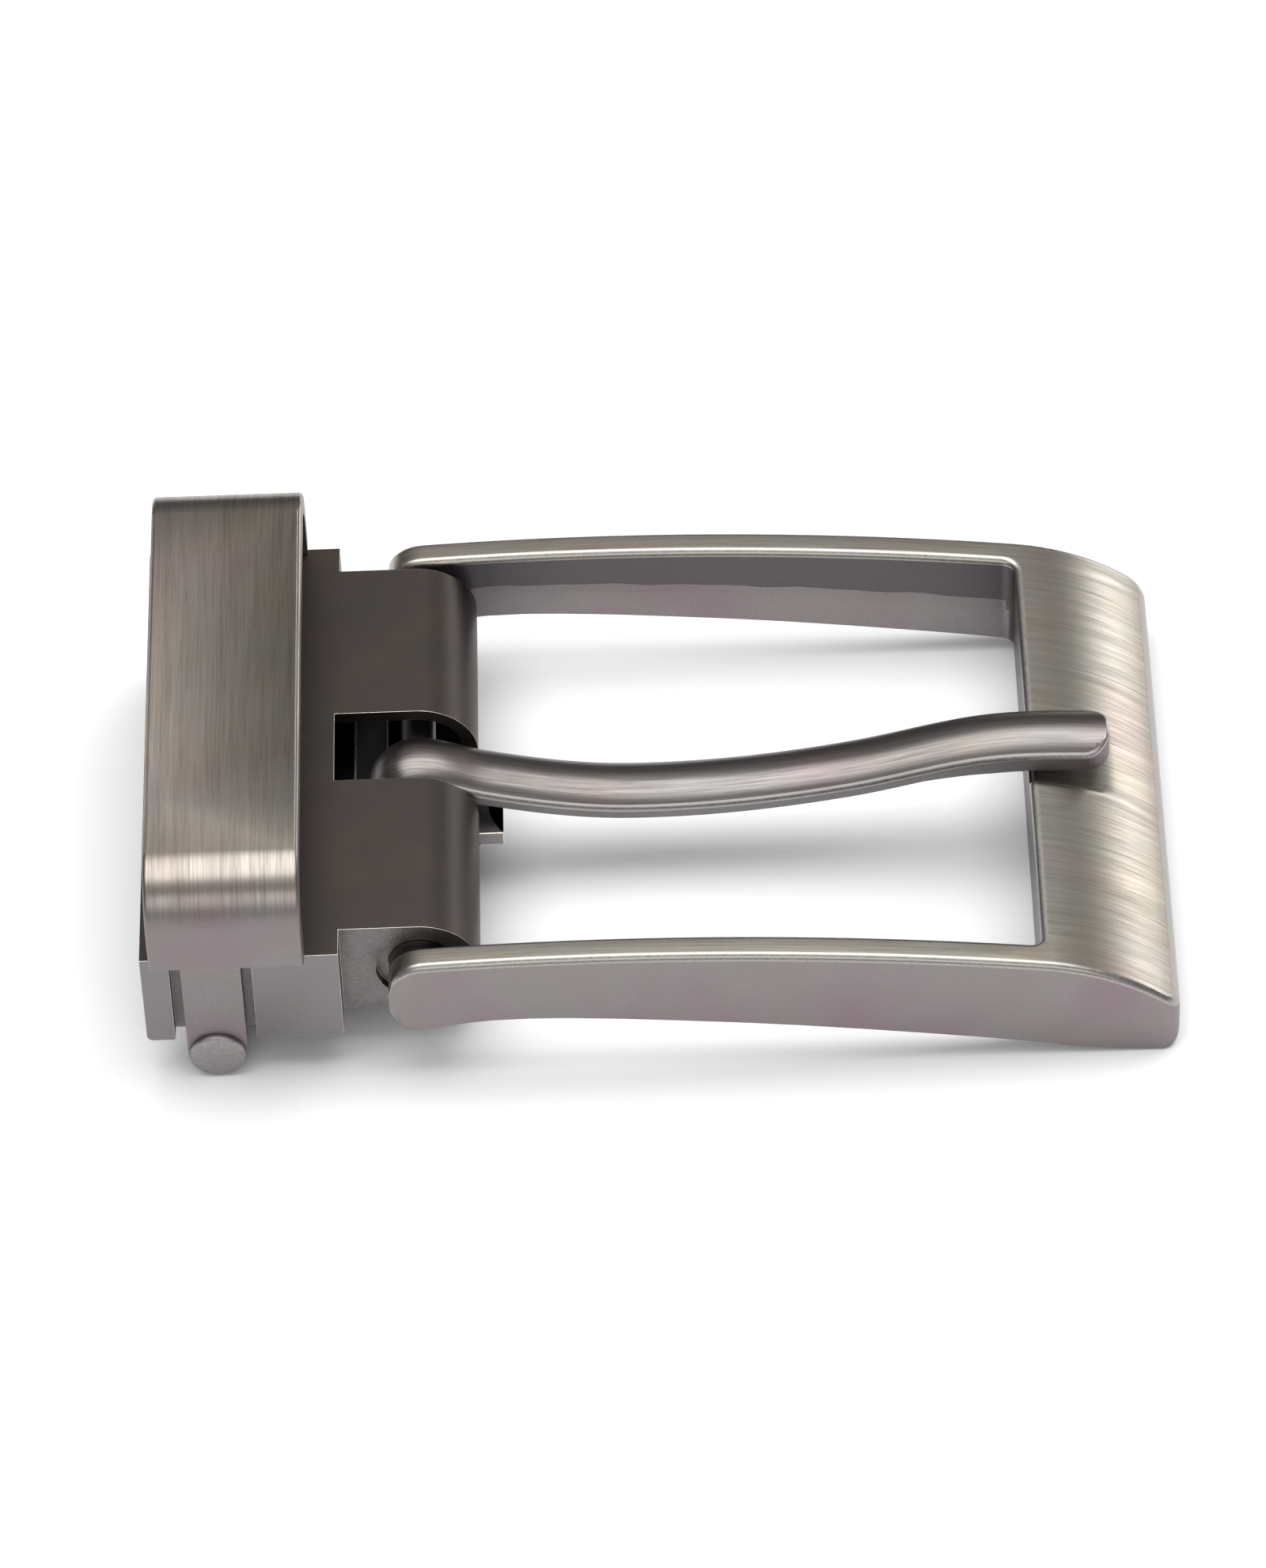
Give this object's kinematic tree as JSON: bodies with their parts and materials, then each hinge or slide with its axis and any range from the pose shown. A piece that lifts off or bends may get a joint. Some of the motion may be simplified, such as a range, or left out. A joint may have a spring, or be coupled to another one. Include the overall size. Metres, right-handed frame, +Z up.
{
  "type": "belt buckle",
  "caption": "Clamp-on dress belt buckle: hinged frame and tongue, toothed strap clamp that flips open, and a fixed keeper loop for a 35 mm strap.",
  "frame": {"origin": "on the resting surface, under the middle of the bounding box", "axes": "+X from the clamp to the frame's end bar, +Y along the hinge pins, +Z up through the buckle's face"},
  "size_m": [0.0724, 0.0416, 0.0196],
  "materials": {
    "brushed_gunmetal": "warm grey plating over cast zinc, brushed lengthwise, polished edges",
    "satin_steel": "fine satin, lighter than the frame",
    "dark_gunmetal": "dark satin plating over cast zinc, worn bright at the edges",
    "plain_steel": "plain satin pin steel with domed riveted ends"
  },
  "bodies": {
    "housing": {"housing_shell": "dark_gunmetal", "keeper_loop": "brushed_gunmetal", "keeper_rod": "plain_steel"},
    "frame": {"buckle_frame": "brushed_gunmetal", "hinge_rod": "plain_steel"},
    "tongue": {"tongue": "satin_steel"},
    "flap": {"clamp_flap": "dark_gunmetal"}
  },
  "joints": [
    {"name": "frame_hinge", "type": "hinge", "parent": "housing", "child": "frame", "pos_m": [-0.01695, 0, 0.0076], "axis": [0, -1, 0], "range_deg": [-8, 45]},
    {"name": "tongue_hinge", "type": "hinge", "parent": "frame", "child": "tongue", "pos_m": [-0.01695, 0, 0.0076], "axis": [0, -1, 0], "range_deg": [0, 70]},
    {"name": "flap_hinge", "type": "hinge", "parent": "housing", "child": "flap", "pos_m": [-0.03135, 0, 0.0021], "axis": [0, 1, 0], "range_deg": [0, 90]}
  ]
}
